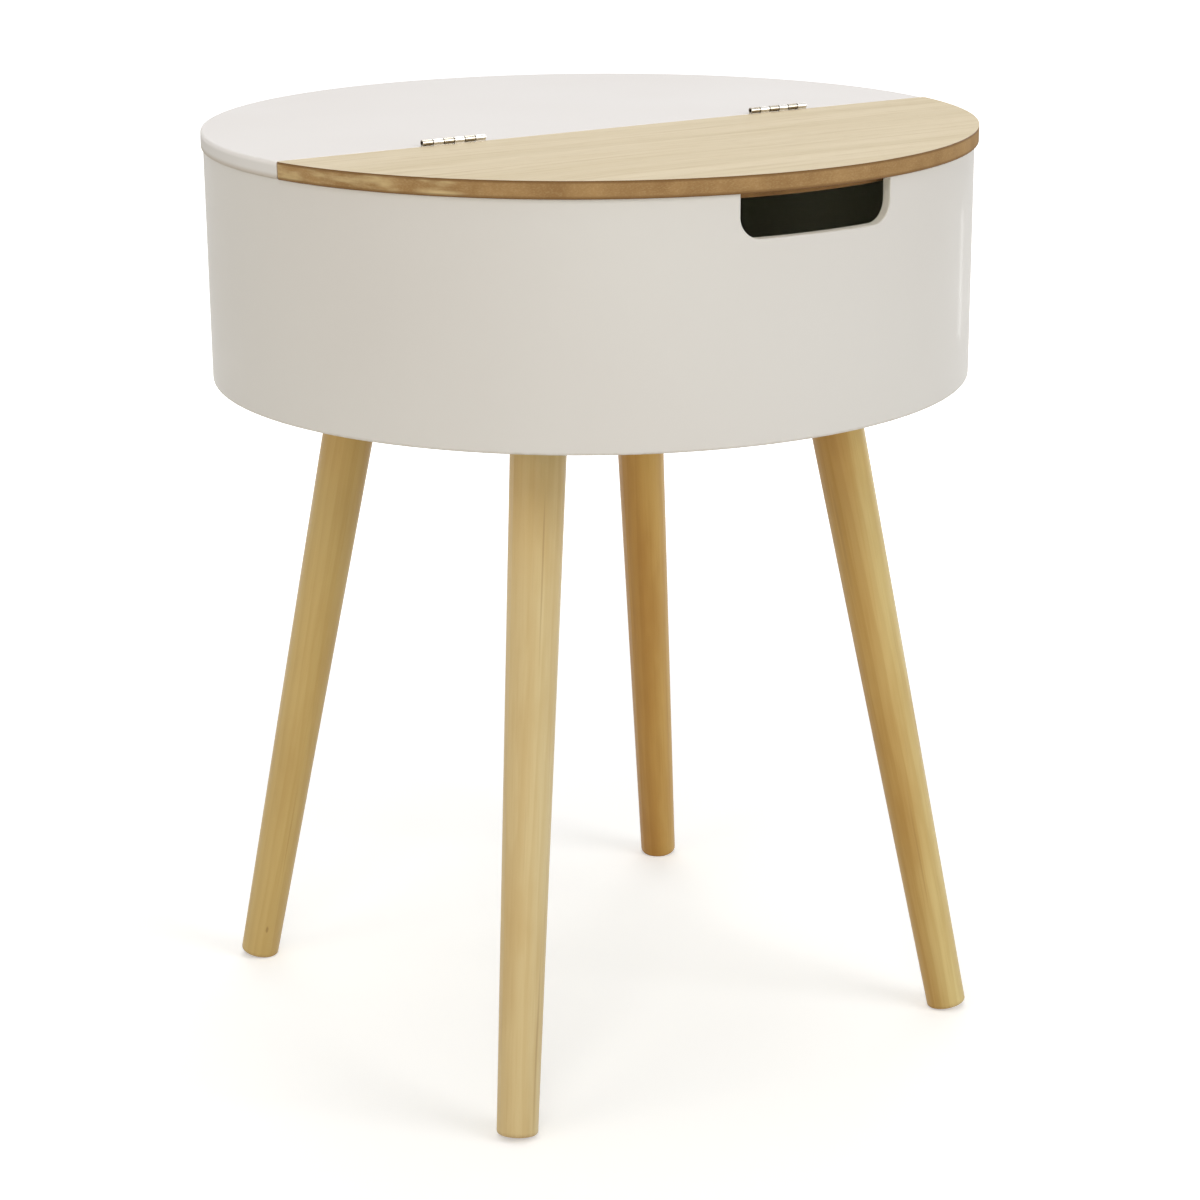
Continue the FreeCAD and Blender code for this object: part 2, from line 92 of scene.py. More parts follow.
class Recipe:
    """Node tree of one finish, grown round a Principled shader."""

    def __init__(self, name: str) -> None:
        """Start a material that holds only its shader and output.

        Args:
            name: Name of the material.
        """
        self.material = bpy.data.materials.new(name)
        self.material.use_nodes = True
        self.tree = self.material.node_tree
        self.tree.nodes.clear()
        self.shader = self.tree.nodes.new("ShaderNodeBsdfPrincipled")
        self.output = self.tree.nodes.new("ShaderNodeOutputMaterial")
        self.tree.links.new(self.shader.outputs["BSDF"], self.output.inputs["Surface"])
        self.coordinates = self.tree.nodes.new("ShaderNodeTexCoord")

    def put(self, target: Socket, value: object) -> None:
        """Link a socket to an input, or set the input's own value.

        Args:
            target: Input socket.
            value: A socket to link, or a plain value.
        """
        if isinstance(value, bpy.types.NodeSocket):
            self.tree.links.new(value, target)
        else:
            target.default_value = value

    def node(self, kind: str, inputs: dict, **settings: object) -> bpy.types.Node:
        """Add a node.

        Args:
            kind: Blender's name of the node type.
            inputs: Input name or index to value or socket.
            **settings: Attributes of the node itself.

        Returns:
            The new node.
        """
        made = self.tree.nodes.new(kind)
        for key, value in settings.items():
            setattr(made, key, value)
        for key, value in inputs.items():
            self.put(made.inputs[key], value)
        return made

    def place(self, scale: Triple = (1, 1, 1), shift: Triple = (0, 0, 0)) -> Socket:
        """Object coordinates, stretched and then moved.

        Args:
            scale: Factor along each axis.
            shift: Added after the stretch.

        Returns:
            Vector socket.
        """
        return self.node("ShaderNodeMapping", {"Vector": self.coordinates.outputs["Object"],
                                               "Scale": scale, "Location": shift}).outputs["Vector"]

    def framed(self, origin: Vector, turn: Matrix) -> Socket:
        """Object coordinates seen from a frame of the piece's own.

        Args:
            origin: Origin of that frame.
            turn: Rotation from that frame to the object's.

        Returns:
            Vector socket.
        """
        return self.node("ShaderNodeMapping", {"Vector": self.coordinates.outputs["Object"],
                                               "Location": origin, "Rotation": turn.to_euler()},
                         vector_type="TEXTURE").outputs["Vector"]

    def stretch(self, vector: Socket, scale: Triple, shift: Triple = (0, 0, 0)) -> Socket:
        """A vector stretched along its axes and then shifted."""
        return self.node("ShaderNodeMapping", {"Vector": vector, "Scale": scale,
                                               "Location": shift}).outputs["Vector"]

    def facing(self) -> Socket:
        """The surface's normal in the piece's own coordinates."""
        return self.coordinates.outputs["Normal"]

    def parts(self, vector: Socket) -> tuple[Socket, Socket, Socket]:
        """X, Y and Z of a vector."""
        outputs = self.node("ShaderNodeSeparateXYZ", {"Vector": vector}).outputs
        return outputs["X"], outputs["Y"], outputs["Z"]

    def dot(self, first: Socket, second: Union[Vector, Socket]) -> Socket:
        """Dot product of two vectors."""
        return self.node("ShaderNodeVectorMath", {0: first, 1: second},
                         operation="DOT_PRODUCT").outputs["Value"]

    def noise(self, vector: Socket, scale: float = 1.0, detail: float = 2.0,
              rough: float = 0.5, bend: float = 0.0) -> Socket:
        """Soft noise from 0 to 1.

        Args:
            vector: Where to read it.
            scale: Cells per unit.
            detail: Octaves added.
            rough: Weight of the finer octaves.
            bend: Distortion.

        Returns:
            Value socket.
        """
        return self.node("ShaderNodeTexNoise", {"Vector": vector, "Scale": scale, "Detail": detail,
                                                "Roughness": rough, "Distortion": bend}).outputs["Fac"]

    def cells(self, vector: Socket, scale: float) -> bpy.types.Node:
        """Voronoi cells, with their Distance and Color outputs."""
        return self.node("ShaderNodeTexVoronoi", {"Vector": vector, "Scale": scale})

    def calc(self, kind: str, first: Number, second: Number = 0.0) -> Socket:
        """One step of arithmetic.

        Args:
            kind: Blender's name of the operation.
            first: First number.
            second: Second number, where the operation takes one.

        Returns:
            Value socket.
        """
        return self.node("ShaderNodeMath", {0: first, 1: second}, operation=kind).outputs[0]

    def span(self, value: Number, low: float, high: float, out_low: float = 0.0,
             out_high: float = 1.0) -> Socket:
        """Smooth step of a value from one range into another.

        Args:
            value: Number to map.
            low: Where the step starts.
            high: Where it ends.
            out_low: Result at the start.
            out_high: Result at the end.

        Returns:
            Value socket.
        """
        return self.node("ShaderNodeMapRange", {0: value, 1: low, 2: high, 3: out_low, 4: out_high},
                         interpolation_type="SMOOTHSTEP").outputs[0]

    def mix(self, share: Number, first: Tint, second: Tint, kind: str = "MIX") -> Socket:
        """Blend of two colours.

        Args:
            share: 0 for the first, 1 for the second.
            first: First colour.
            second: Second colour.
            kind: Blend type.

        Returns:
            Colour socket.
        """
        return self.node("ShaderNodeMix", {0: share, 6: first, 7: second}, data_type="RGBA",
                         blend_type=kind).outputs[2]

    def ease(self, share: Number, first: Number, second: Number) -> Socket:
        """Blend of two numbers by a share from 0 to 1."""
        return self.node("ShaderNodeMix", {0: share, 2: first, 3: second}).outputs[0]

    def bump(self, height: Number, depth: float) -> Socket:
        """Normal of a surface raised by height times depth metres."""
        return self.node("ShaderNodeBump", {"Height": height, "Distance": depth}).outputs["Normal"]

    def coat(self, colour: Tint, rough: Number, normal: Socket, **fixed: float) -> bpy.types.Material:
        """Join the textures to the shader.

        Args:
            colour: Base colour.
            rough: Roughness.
            normal: Bumped normal.
            **fixed: Shader inputs that are the same all over, with _ for a space.

        Returns:
            The finished material.
        """
        self.put(self.shader.inputs["Base Color"], colour)
        self.put(self.shader.inputs["Roughness"], rough)
        self.put(self.shader.inputs["Normal"], normal)
        for key, value in fixed.items():
            self.shader.inputs[key.replace("_", " ")].default_value = value
        return self.material


@dataclass(frozen=True)
class Fibreboard:
    """Bare fibreboard: pressed fibres, denser and darker towards the board's faces."""

    name: str
    tan: Colour = srgb(165, 131, 85)
    dark: Colour = srgb(142, 108, 66)
    pale: Colour = srgb(205, 182, 134)
    faces: tuple[float, float] = (0.0, 0.0)
    scuff_from: float = 0.0
    scuff_to: float = 0.0
    gaps: Colour = srgb(110, 78, 42)
    skin: Colour = srgb(112, 80, 44)
    skin_share: float = 0.62
    skin_below: float = 0.0011
    skin_above: float = 0.0009
    skin_full: float = 0.0002
    clumps_per_metre: float = 75
    fibres_per_metre: Triple = (900, 900, 1700)
    scuffs_per_metre: Triple = (48, 48, 230)
    relief: float = 0.00008

    def colour(self, r: Recipe) -> tuple[Socket, Socket]:
        """Colour and height of the fibres.

        Args:
            r: Recipe that the nodes go into.

        Returns:
            Colour socket and height socket.
        """
        here = r.place()
        clumps = r.noise(here, self.clumps_per_metre, 3, 0.5)
        fibres = r.noise(r.stretch(here, self.fibres_per_metre), 1, 3, 0.6)
        tone = r.mix(r.span(clumps, 0.20, 0.75), self.dark, self.tan)
        tone = r.mix(r.span(fibres, 0.45, 0.75, 0, 0.22), tone, self.pale)
        tone = r.mix(r.span(fibres, 0.5, 0.25, 0, 0.18), tone, self.gaps)
        if self.scuff_to != self.scuff_from:
            x = r.parts(here)[0]
            near = r.span(x, self.scuff_from, self.scuff_to)
            patch = r.noise(r.stretch(here, self.scuffs_per_metre, (3.1, 0.4, 1.7)), 1, 3, 0.5)
            tone = r.mix(r.calc("MULTIPLY", near, r.span(patch, 0.40, 0.72, 0, 0.8)), tone, self.pale)
        if self.faces[1] > self.faces[0]:
            z = r.parts(here)[2]
            bottom, top = self.faces
            low = r.span(z, bottom + self.skin_below, bottom + self.skin_full)
            high = r.span(z, top - self.skin_above, top - self.skin_full)
            dense = r.calc("MULTIPLY", r.calc("MAXIMUM", low, high), self.skin_share)
            tone = r.mix(dense, tone, self.skin)
        return tone, fibres

    def material(self) -> bpy.types.Material:
        """Build the material.

        Returns:
            The finished material.
        """
        r = Recipe(self.name)
        tone, fibres = self.colour(r)
        rough = r.span(fibres, 0.3, 0.7, 0.72, 0.92)
        return r.coat(tone, rough, r.bump(fibres, self.relief), Specular_IOR_Level=0.25)


@dataclass(frozen=True)
class Lacquer:
    """White satin lacquer: faint clouds, orange peel, soiling and painted shade along its lower edge, and
    a painted shadow line along its upper edge.
    """

    name: str
    white: Colour
    shade: Colour
    dust_and_shade_tone: Colour = srgb(206, 196, 180)
    low_edge: float = 0.0
    high_edge: float = ABOVE_ALL
    satin: float = 0.44
    matt: float = 0.54
    level: float = 0.2
    gloss: float = 0.0
    gloss_rough: float = 0.09
    edge_dust_and_shade: tuple[float, float] = (0.0016, 0.0003)
    line_shade: tuple[float, float] = (0.0008, 0.0001)
    clouds_per_metre: float = 7
    smears_per_metre: float = 22
    flecks_per_metre: float = 240
    peel_per_metre: float = 190
    waves_per_metre: float = 45
    relief: float = 0.000006

    def marked(self, r: Recipe, tone: Tint, rough: Number) -> tuple[Tint, Number]:
        """Colour and roughness with the marks of one piece: none here."""
        return tone, rough

    def material(self) -> bpy.types.Material:
        """Build the material.

        Returns:
            The finished material.
        """
        r = Recipe(self.name)
        here = r.place()
        z = r.parts(here)[2]
        clouds = r.noise(here, self.clouds_per_metre, 2, 0.4)
        flecks = r.noise(here, self.flecks_per_metre, 3, 0.5)
        tone = r.mix(r.span(clouds, 0.15, 0.85), self.white, self.shade)
        # darker bands: soiling and painted shade along the lower edge, a painted shadow line along the
        # upper edge
        edge = r.span(z, *(self.low_edge + reach for reach in self.edge_dust_and_shade))
        line = r.span(z, *(self.high_edge - reach for reach in self.line_shade))
        dust_and_shade = r.calc("MULTIPLY", r.calc("MAXIMUM", edge, line), r.span(flecks, 0.3, 0.7, 0.25, 0.7))
        tone = r.mix(dust_and_shade, tone, self.dust_and_shade_tone)
        peel = r.noise(here, self.peel_per_metre, 0, 0.4)
        rough = r.span(r.noise(here, self.smears_per_metre, 2, 0.5), 0.2, 0.8, self.satin, self.matt)
        tone, rough = self.marked(r, tone, rough)
        height = r.calc("ADD", peel, r.calc("MULTIPLY", r.noise(here, self.waves_per_metre, 0), 2.0))
        return r.coat(tone, rough, r.bump(height, self.relief), Specular_IOR_Level=self.level,
                      Coat_Weight=self.gloss, Coat_Roughness=self.gloss_rough)


@dataclass(frozen=True)
class WallLacquer(Lacquer):
    """Lacquer of the bent wall: cream inside, and lighter on the cut faces of its notch as painted light.
    """

    # painted light: the notch's cut faces made lighter than the wall
    cut: Colour = srgb(237, 233, 222)
    inside: Colour = srgb(228, 228, 204)
    painted_light_cut_from: float = 0.40

    def marked(self, r: Recipe, tone: Tint, rough: Number) -> tuple[Tint, Number]:
        """Another colour on the inside, and painted light on the faces that look along the wall.

        Args:
            r: Recipe that the nodes go into.
            tone: Colour of the outside.
            rough: Roughness of the outside.

        Returns:
            Colour and roughness.
        """
        x, y, z = r.parts(r.place())
        level = r.node("ShaderNodeCombineXYZ", {"X": x, "Y": y, "Z": 0.0}).outputs[0]
        outward = r.node("ShaderNodeVectorMath", {0: level}, operation="NORMALIZE").outputs["Vector"]
        along = r.dot(outward, r.facing())
        high = r.span(z, self.painted_light_cut_from, self.painted_light_cut_from + 0.01)
        # painted light on the cut faces of the notch
        edge = r.calc("MULTIPLY", r.span(r.calc("ABSOLUTE", along), 0.75, 0.25), high)
        tone = r.mix(r.span(along, -0.5, -0.9), tone, self.inside)
        return r.mix(edge, tone, self.cut), rough


@dataclass(frozen=True)
class TopLacquer(Lacquer):
    """Lacquer of the fixed top: painted shade on the rim and along its foot, and unpainted board on the
    cut face along the seam, its dark tone partly painted shade.
    """

    # painted shade: the rim's upright face darker than the top
    rim: Colour = srgb(220, 217, 213)
    dust_and_shade_tone: Colour = srgb(182, 170, 154)
    board: Colour = srgb(150, 118, 80)
    dark_board_and_shade: Colour = srgb(122, 92, 58)
    rim_shade_high: float = 0.0070
    rim_shade_low: float = 0.0054
    shade_line_high: float = 0.003
    rim_rough: float = 0.62
    fibres_per_metre: Triple = (420, 900, 1500)

    def marked(self, r: Recipe, tone: Tint, rough: Number) -> tuple[Tint, Number]:
        """Painted shade on the rim and at its foot, and unpainted board on the faces turned to the seam.

        Args:
            r: Recipe that the nodes go into.
            tone: Colour of the upper face.
            rough: Roughness of the upper face.

        Returns:
            Colour and roughness.
        """
        y, z = r.parts(r.facing())[1], r.parts(r.place())[2]
        fibres = r.noise(r.place(self.fibres_per_metre), 1, 4, 0.6)
        rim = r.span(z, self.low_edge + self.rim_shade_high, self.low_edge + self.rim_shade_low)
        # painted shadow line along the rim's foot, where the board meets the wall
        dust_and_shade = r.span(z, self.low_edge + self.shade_line_high, self.low_edge, 0.0, 0.8)
        tone = r.mix(rim, tone, r.mix(dust_and_shade, self.rim, self.dust_and_shade_tone))
        # unpainted board on the seam face, its dark tone partly painted shade of the seam's gap
        bare_board_and_shade = r.mix(r.span(fibres, 0.35, 0.65), self.dark_board_and_shade, self.board)
        return r.mix(r.span(y, -0.65, -0.92), tone, bare_board_and_shade), r.ease(rim, rough, self.rim_rough)


@dataclass(frozen=True)
class Veneer:
    """Pale open-grained veneer, its grain along the hinge line, cut edges darker."""

    name: str
    light: Colour = srgb(221, 206, 176)
    mid: Colour = srgb(211, 195, 162)
    dark: Colour = srgb(189, 169, 131)
    edge: Colour = srgb(118, 86, 50)
    seed: float = 0.0
    level_from: float = 0.75
    level_to: float = 0.45
    pore: Colour = srgb(168, 140, 98)
    sway: float = 0.016
    bands_per_metre: Triple = (1.6, 46, 1)
    streaks_per_metre: Triple = (9, 260, 1)
    fibres_per_metre: Triple = (45, 1500, 1)
    pores_per_metre: Triple = (75, 1900, 1)
    relief: float = 0.00004

    def material(self) -> bpy.types.Material:
        """Build the material.

        Returns:
            The finished material.
        """
        r = Recipe(self.name)
        here = r.place(shift=(self.seed, self.seed * 0.7, 0))
        sway = r.noise(r.stretch(here, (5, 9, 0)), 1, 2, 0.5)
        x, y, _ = r.parts(here)
        drift = r.calc("ADD", y, r.calc("MULTIPLY", r.calc("SUBTRACT", sway, 0.5), self.sway))
        grain = r.node("ShaderNodeCombineXYZ", {"X": x, "Y": drift, "Z": 0.0}).outputs[0]
        bands = r.noise(r.stretch(grain, self.bands_per_metre), 1, 3, 0.55)
        streaks = r.noise(r.stretch(grain, self.streaks_per_metre), 1, 4, 0.6)
        fibres = r.noise(r.stretch(grain, self.fibres_per_metre), 1, 3, 0.6)
        pores = r.noise(r.stretch(grain, self.pores_per_metre, (7.3, 2.1, 0)), 1, 1, 0.4)
        tone = r.mix(r.span(bands, 0.3, 0.7), self.light, self.mid)
        tone = r.mix(r.span(streaks, 0.5, 0.78, 0, 0.5), tone, self.dark)
        tone = r.mix(r.span(fibres, 0.45, 0.8, 0, 0.35), tone, self.dark)
        tone = r.mix(r.span(pores, 0.63, 0.76, 0, 0.4), tone, self.pore)
        upright = r.span(r.calc("ABSOLUTE", r.parts(r.facing())[2]), self.level_from, self.level_to)
        tone = r.mix(upright, tone, self.edge)
        rough = r.span(streaks, 0.3, 0.7, 0.46, 0.58)
        height = r.calc("SUBTRACT", r.calc("MULTIPLY", fibres, 0.5), r.span(pores, 0.6, 0.75))
        return r.coat(tone, rough, r.bump(height, self.relief), Specular_IOR_Level=0.15)


@dataclass(frozen=True)
class LegLook:
    """What sets one leg apart: its colours and its darker heartwood side, both partly painted shade."""

    name: str
    early: Colour
    late: Colour
    heart_and_shade: Colour
    heart_and_shade_right: float
    heart_and_shade_reach: float


@dataclass(frozen=True)
class LegWood:
    """Blond wood under thin clear lacquer, its grain along the leg, a darker heartwood tone to one side
    that is partly painted shade, and painted shade towards its top.
    """

    look: LegLook
    origin: Vector
    turn: Matrix
    length: float
    seed: float
    heart_and_shade_way: Vector
    radius: float = 0.0118
    wander: float = 0.9
    deep: Colour = srgb(140, 98, 48)
    speck: Colour = srgb(120, 84, 44)
    # painted shade: the leg's top darkened where the drum shades it
    painted_shade_top_tint: Colour = (0.92, 0.85, 0.74, 1.0)
    painted_shade_top_fade: tuple[float, float] = (0.10, 0.03)
    pith_off: float = 0.035
    sway: float = 0.011
    rings_per_metre: float = 230
    fibres_per_metre: Triple = (900, 900, 26)
    threads_per_metre: Triple = (330, 330, 4)
    specks_per_metre: Triple = (62, 62, 24)
    worn_foot: float = 0.004
    relief: float = 0.00003

    def heart_and_shade_share(self, r: Recipe, own: Socket) -> Socket:
        """Share of the darker heartwood tone, partly painted shade, its border wandering along the leg.

        Args:
            r: Recipe that the nodes go into.
            own: Place in the leg's own frame.

        Returns:
            Value socket.
        """
        s = self.seed
        way = self.turn.inverted() @ self.heart_and_shade_way
        way = Vector((way.x, way.y, 0)).normalized() / self.radius
        across = r.dot(own, way)
        drift = r.noise(r.stretch(own, (34, 34, 7), (2 * s, s, s)), 1, 2, 0.5)
        drift = r.calc("MULTIPLY", r.calc("SUBTRACT", drift, 0.5), 2 * self.wander)
        reach = self.look.heart_and_shade_reach
        return r.span(r.calc("ADD", across, drift), -0.85 - reach, 0.85 - reach)

    def material(self) -> bpy.types.Material:
        """Build the material for one leg.

        Returns:
            The finished material.
        """
        look, s = self.look, self.seed
        r = Recipe(f"wood_{look.name}")
        own = r.framed(self.origin, self.turn)
        sway = r.noise(r.stretch(own, (26, 26, 5), (s, s, s)), 1, 2, 0.5)
        x, y, z = r.parts(own)
        off_x, off_y = self.pith_off + 0.012 * math.sin(s * 3.1), 0.02 * math.cos(s * 1.7)
        pith_x, pith_y = r.calc("ADD", x, off_x), r.calc("ADD", y, off_y)
        square_x, square_y = r.calc("MULTIPLY", pith_x, pith_x), r.calc("MULTIPLY", pith_y, pith_y)
        reach = r.calc("SQRT", r.calc("ADD", square_x, square_y))
        reach = r.calc("ADD", reach, r.calc("MULTIPLY", sway, self.sway))
        ring = r.calc("FRACT", r.calc("MULTIPLY", reach, self.rings_per_metre))
        late = r.calc("MULTIPLY", r.span(ring, 0.2, 0.85), r.span(ring, 1.0, 0.88))
        fibres = r.noise(r.stretch(own, self.fibres_per_metre, (s, 2 * s, s)), 1, 4, 0.6)
        broad = r.noise(r.stretch(own, (60, 60, 14), (2 * s, s, 3 * s)), 1, 3, 0.55)
        tone = r.mix(r.calc("MULTIPLY", late, 0.26), look.early, look.late)
        tone = r.mix(r.span(fibres, 0.42, 0.75, 0, 0.24), tone, look.late)
        tone = r.mix(r.span(broad, 0.42, 0.72, 0, 0.42), tone, look.late)
        # partly painted shade: the darker heartwood tone sits on the leg's side that is shaded in the
        # camera's view
        tone = r.mix(self.heart_and_shade_share(r, own), tone, r.mix(1.0, tone, look.heart_and_shade, "MULTIPLY"))
        threads = r.noise(r.stretch(own, self.threads_per_metre, (s, s, 3 * s)), 1, 2, 0.5)
        tone = r.mix(r.span(threads, 0.66, 0.76, 0, 0.32), tone, self.deep)
        specks = r.cells(r.stretch(own, self.specks_per_metre, (s, s, s)), 1)
        chosen = r.parts(specks.outputs["Color"])[0]
        dots = r.span(specks.outputs["Distance"], 0.06, 0.02)
        dots = r.calc("MULTIPLY", dots, r.span(chosen, 0.92, 0.95))
        tone = r.mix(r.calc("MULTIPLY", dots, 0.6), tone, self.speck)
        # painted shade: darker towards the leg's top, under the drum
        tone = r.mix(r.span(z, *self.painted_shade_top_fade), tone, r.mix(1.0, tone, self.painted_shade_top_tint, "MULTIPLY"))
        foot = r.span(z, self.length - self.worn_foot, self.length)
        scuffs = r.calc("MULTIPLY", foot, r.span(fibres, 0.3, 0.6, 0.25, 0.7))
        tone = r.mix(scuffs, tone, self.deep)
        rough = r.span(fibres, 0.3, 0.7, 0.36, 0.48)
        height = r.calc("SUBTRACT", r.calc("MULTIPLY", fibres, 0.6), dots)
        return r.coat(tone, rough, r.bump(height, self.relief), Specular_IOR_Level=0.3,
                      Coat_Weight=0.08, Coat_Roughness=0.3)


@dataclass(frozen=True)
class Softwood:
    """Planed softwood of the rail and the glue blocks."""

    name: str
    along: Triple = (9, 420, 420)
    pale: Colour = srgb(222, 196, 146)
    ring: Colour = srgb(190, 146, 88)
    deep: Colour = srgb(160, 118, 66)
    relief: float = 0.00006

    def material(self) -> bpy.types.Material:
        """Build the material.

        Returns:
            The finished material.
        """
        r = Recipe(self.name)
        here = r.place(self.along)
        lines = r.noise(here, 1, 4, 0.6, 0.4)
        fibres = r.noise(r.stretch(here, (4, 6, 6)), 1, 2, 0.6)
        tone = r.mix(r.span(lines, 0.4, 0.68), self.pale, self.ring)
        tone = r.mix(r.span(fibres, 0.5, 0.8, 0, 0.4), tone, self.deep)
        return r.coat(tone, r.span(fibres, 0.3, 0.7, 0.58, 0.75), r.bump(fibres, self.relief))


@dataclass(frozen=True)
class Metal:
    """Plated steel with fine rolling marks, duller patches, and painted shade where a subclass sets it.
    """

    name: str
    bright: Colour
    dull: Colour
    smooth: float
    matt: float
    marks: Triple = (60, 900, 900)
    patches_per_metre: float = 170
    # painted shade and painted reflection of the wooden lid
    shade_and_reflection_tone: Colour = srgb(112, 95, 70)
    relief: float = 0.000002

    def shade_share(self, r: Recipe) -> Number:
        """Share of painted shade at each point: none here."""
        return 0.0

    def material(self) -> bpy.types.Material:
        """Build the material.

        Returns:
            The finished material.
        """
        r = Recipe(self.name)
        here = r.place()
        patches = r.noise(here, self.patches_per_metre, 3, 0.6)
        lines = r.noise(r.stretch(here, self.marks), 1, 3, 0.6)
        tone = r.mix(r.span(patches, 0.4, 0.8, 0, 0.6), self.bright, self.dull)
        tone = r.mix(r.span(lines, 0.55, 0.8, 0, 0.25), tone, self.dull)
        # painted shade and reflection where a subclass sets a share
        tone = r.mix(self.shade_share(r), tone, self.shade_and_reflection_tone)
        rough = r.span(lines, 0.3, 0.7, self.smooth, self.matt)
        return r.coat(tone, rough, r.bump(lines, self.relief), Metallic=1.0)


@dataclass(frozen=True)
class HingeNickel(Metal):
    """Nickel of the hinges, with painted shade between the knuckles and painted shade and reflection of
    the lid on what looks down.
    """

    first: float = 0.076
    pitch: float = 0.034 / 6
    barrel_low: float = 0.4500
    under_shade: float = 0.75
    specks_per_metre: float = 420

    def shade_share(self, r: Recipe) -> Number:
        """Share of painted shade: at the knuckles' ends, and painted shade and reflection on what looks
        down.

        Args:
            r: Recipe that the nodes go into.

        Returns:
            Value socket.
        """
        here = r.place()
        x, _, z = r.parts(here)
        past = r.calc("SUBTRACT", r.calc("ABSOLUTE", x), self.first - self.pitch)
        turn = r.calc("FRACT", r.calc("DIVIDE", past, self.pitch))
        off_middle = r.calc("ABSOLUTE", r.calc("SUBTRACT", turn, 0.5))
        barrel = r.span(z, self.barrel_low, self.barrel_low + 0.0003, 0, 0.6)
        # painted shade in the gaps between the knuckles
        end = r.calc("MULTIPLY", r.span(off_middle, 0.44, 0.475), barrel)
        # painted shade and painted reflection of the lid on faces that look down
        under = r.span(r.parts(r.facing())[2], 0.45, -0.3, 0, self.under_shade)
        patchy = r.span(r.noise(here, self.specks_per_metre, 2), 0.3, 0.6, 0.6, 1.0)
        return r.calc("MAXIMUM", end, r.calc("MULTIPLY", under, patchy))


def dress(material: bpy.types.Material, *nodes: str) -> None:
    """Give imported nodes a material.

    Args:
        material: The finish.
        *nodes: Names of the nodes.
    """
    for name in nodes:
        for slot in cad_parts[name].material_slots:
            slot.material = material
        LOG.info("dressed %s in %s", name, material.name)


def dull_zinc(name: str) -> bpy.types.Material:
    """Dull zinc plating of the plates, the bolts and the larger screws."""
    return Metal(name, srgb(206, 208, 208), srgb(150, 152, 152), smooth=0.32, matt=0.5,
                 marks=(300, 300, 300)).material()


class Head(Enum):
    """Heads of wood screws."""

    SUNK = "countersunk"
    PAN = "pan"


